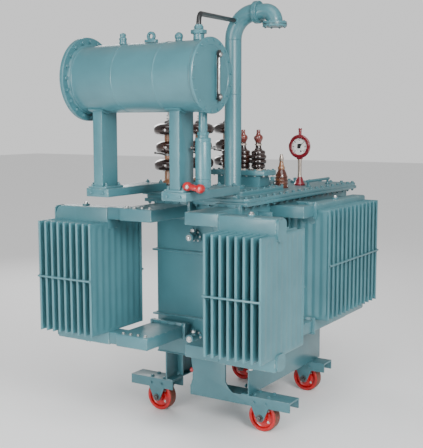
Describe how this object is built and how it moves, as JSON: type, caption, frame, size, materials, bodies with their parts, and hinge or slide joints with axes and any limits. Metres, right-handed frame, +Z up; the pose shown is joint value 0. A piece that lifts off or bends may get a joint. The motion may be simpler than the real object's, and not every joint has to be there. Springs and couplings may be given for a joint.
{
  "type": "power transformer",
  "caption": "Oil-filled power transformer: ribbed tank with fin radiators, conservator drum on posts, explosion vent, porcelain bushings, dial thermometer and rollers.",
  "frame": {"origin": "on the floor under the middle of the whole object's box", "axes": "+Z up; +X along the conservator drum to the transformer's right, its gauge end; +Y from the conservator end to the thermometer end"},
  "size_m": [1.44, 2.16, 2.451],
  "materials": {
    "tank_paint": "gloss",
    "radiator_paint": "gloss",
    "base_paint": "satin",
    "roller_red": "painted",
    "brown_glaze": "gloss",
    "amber_glaze": "gloss",
    "valve_red": "gloss",
    "dial_red": "gloss",
    "stem_metal": "worn",
    "black_paint": "satin",
    "valve_steel": "brushed"
  },
  "bodies": {
    "transformer": {"arm_packings": "tank_paint", "base_cross_front": "base_paint", "base_cross_rear": "base_paint", "base_stub_front_left": "base_paint", "breather_body": "tank_paint", "breather_pipe": "tank_paint", "breather_valve": "valve_red", "conservator_arm_left": "tank_paint", "conservator_arm_right": "tank_paint", "conservator_end_left": "tank_paint", "conservator_end_right": "tank_paint", "conservator_lifting_eye": "tank_paint", "conservator_post_left": "tank_paint", "conservator_post_right": "tank_paint", "conservator_shell": "tank_paint", "cover_plate": "tank_paint", "cover_rail": "tank_paint", "equalizer_pipe": "black_paint", "equalizer_union": "tank_paint", "filler_plug": "tank_paint", "front_ducts_bottom": "tank_paint", "front_ducts_top": "tank_paint", "front_valves": "valve_steel", "hv_bushing_1": "brown_glaze", "hv_bushing_2": "brown_glaze", "hv_bushing_3": "brown_glaze", "hv_turrets": "tank_paint", "lifting_lugs": "tank_paint", "lv_bushing_1": "brown_glaze", "lv_bushing_2": "brown_glaze", "lv_bushing_3": "brown_glaze", "lv_turret": "tank_paint", "neutral_bushing": "amber_glaze", "oil_level_gauge": "black_paint", "radiator_front_left": "radiator_paint", "radiator_front_right": "radiator_paint", "radiator_side_left": "radiator_paint", "radiator_side_right": "radiator_paint", "raised_plate": "tank_paint", "relief_knob": "tank_paint", "side_ducts_bottom": "tank_paint", "side_ducts_top": "tank_paint", "skid_left": "base_paint", "skid_right": "base_paint", "stiffener_lower": "tank_paint", "stiffener_upper": "tank_paint", "tank_body": "tank_paint", "tank_rim": "tank_paint", "thermometer_dial": "dial_red", "thermometer_stem": "stem_metal", "vent_outlet": "tank_paint", "vent_pipe": "tank_paint"},
    "roller_front_left_body": {"roller_front_left": "roller_red"},
    "roller_front_right_body": {"roller_front_right": "roller_red"},
    "roller_rear_left_body": {"roller_rear_left": "roller_red"},
    "roller_rear_right_body": {"roller_rear_right": "roller_red"}
  },
  "joints": [
    {"name": "roller_front_left_spin", "type": "hinge", "parent": "transformer", "child": "roller_front_left_body", "pos_m": [-0.36, -0.26, 0.088], "axis": [0, 1, 0], "continuous": true},
    {"name": "roller_front_right_spin", "type": "hinge", "parent": "transformer", "child": "roller_front_right_body", "pos_m": [0.36, -0.26, 0.088], "axis": [0, 1, 0], "continuous": true},
    {"name": "roller_rear_left_spin", "type": "hinge", "parent": "transformer", "child": "roller_rear_left_body", "pos_m": [-0.24, 0.554, 0.088], "axis": [0, 1, 0], "continuous": true},
    {"name": "roller_rear_right_spin", "type": "hinge", "parent": "transformer", "child": "roller_rear_right_body", "pos_m": [0.24, 0.554, 0.088], "axis": [0, 1, 0], "continuous": true}
  ]
}
